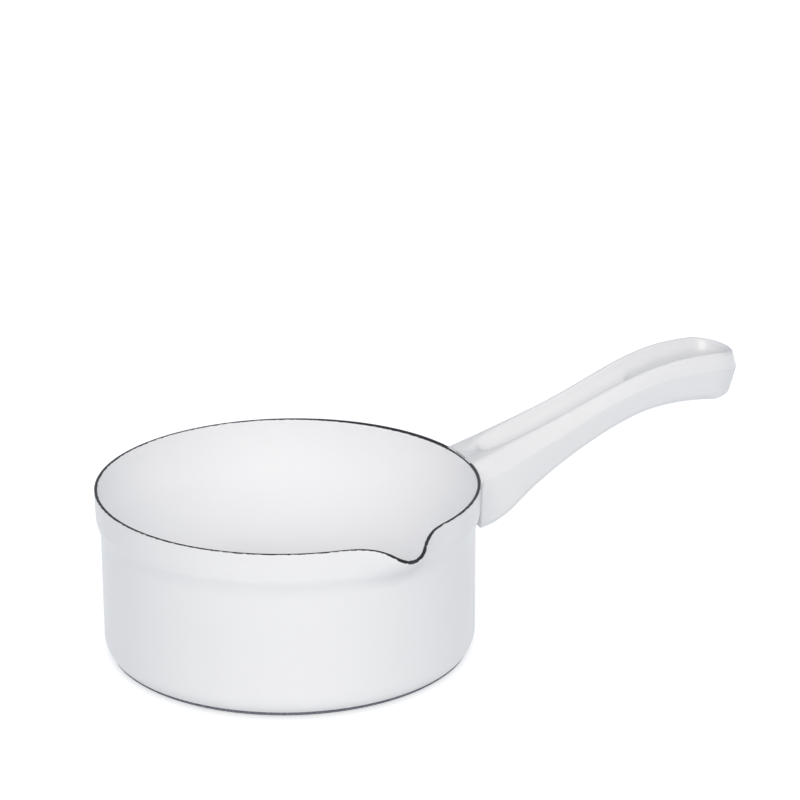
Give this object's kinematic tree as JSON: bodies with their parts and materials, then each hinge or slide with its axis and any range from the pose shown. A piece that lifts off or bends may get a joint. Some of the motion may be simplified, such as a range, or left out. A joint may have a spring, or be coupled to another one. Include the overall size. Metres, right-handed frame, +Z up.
{
  "type": "milk pan",
  "caption": "Small open milk pan in white enamelled sheet steel, with a pouring spout at the side and a hollow, welded-on handle with a hanging slot.",
  "frame": {"origin": "the middle of the base, on the flat surface that the pan stands on", "axes": "+Z up; +X from the middle of the pan towards the end of the handle; the spout is on the right of the handle as seen from its end, 78.6 degrees from +X towards -Y"},
  "size_m": [0.2589, 0.1502, 0.0946],
  "materials": {
    "white_enamelled_steel": "glossy white vitreous enamel on sheet steel",
    "black_rim_enamel": "glossy black edging enamel",
    "dark_base_enamel": "dark ground-coat enamel, semi-gloss",
    "enamelled_weld": "weld bead under the white enamel"
  },
  "bodies": {
    "root": {"pan_body": "white_enamelled_steel", "rim_enamel": "black_rim_enamel", "base_enamel": "dark_base_enamel", "handle_upper_shell": "white_enamelled_steel", "handle_lower_shell": "white_enamelled_steel", "handle_seam_weld": "enamelled_weld", "slot_weld": "enamelled_weld", "root_weld": "enamelled_weld"}
  },
  "joints": []
}
